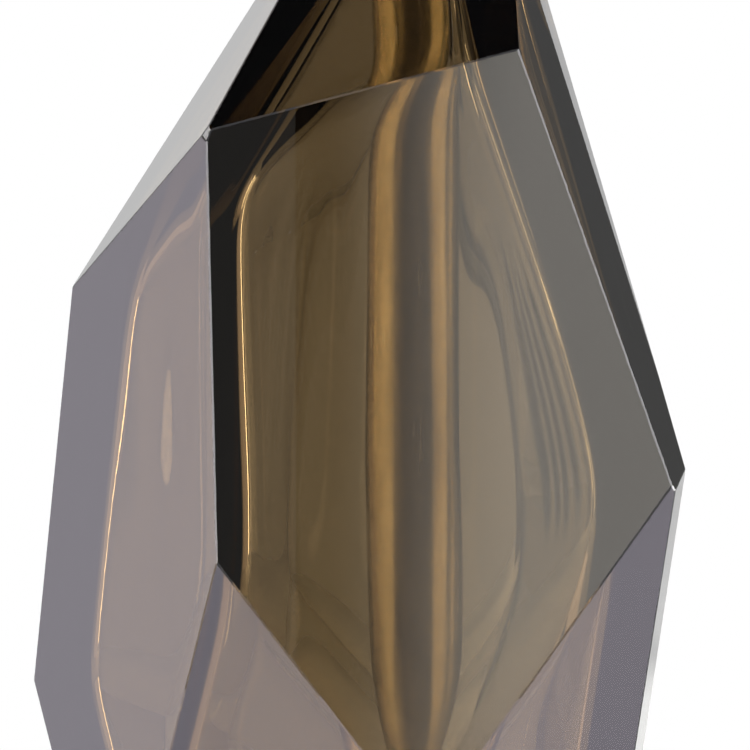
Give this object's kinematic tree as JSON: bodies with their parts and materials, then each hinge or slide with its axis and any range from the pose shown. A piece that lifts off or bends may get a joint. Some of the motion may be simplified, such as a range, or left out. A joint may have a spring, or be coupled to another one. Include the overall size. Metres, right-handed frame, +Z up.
{
  "type": "cut crystal vase",
  "caption": "Tall flat-cut smoky crystal vase with a thick faceted wall, a rounded hollow and a lift-out brass stem tube held on its axis by a collar in the neck.",
  "frame": {"origin": "on the axis of the stem tube, at the underside of the base felt where the vase rests", "axes": "+Z up along the stem tube, -Y towards the large front cut, +X to its right"},
  "size_m": [0.1729, 0.1488, 0.2897],
  "materials": {
    "smoky_crystal": "polished flat cuts with fine polished arrises, smoky olive-brown, clear",
    "tube_brass": "antique brass, drawn along the tube, satin",
    "collar_brass": "antique brass, turned, satin",
    "gasket_rubber": "pale silicone, matt",
    "felt": "pressed wool felt, undyed"
  },
  "bodies": {
    "vase": {"crystal_body": "smoky_crystal", "collar_gasket": "gasket_rubber", "mouth_collar": "collar_brass", "centring_cup": "gasket_rubber", "base_felt": "felt"},
    "stem_liner": {"stem_tube": "tube_brass", "tube_end_cap": "tube_brass", "tube_rim": "collar_brass"}
  },
  "joints": [
    {"name": "liner_lift", "type": "slide", "parent": "vase", "child": "stem_liner", "axis": [0, 0, 1], "range_m": [0, 0.27]}
  ]
}
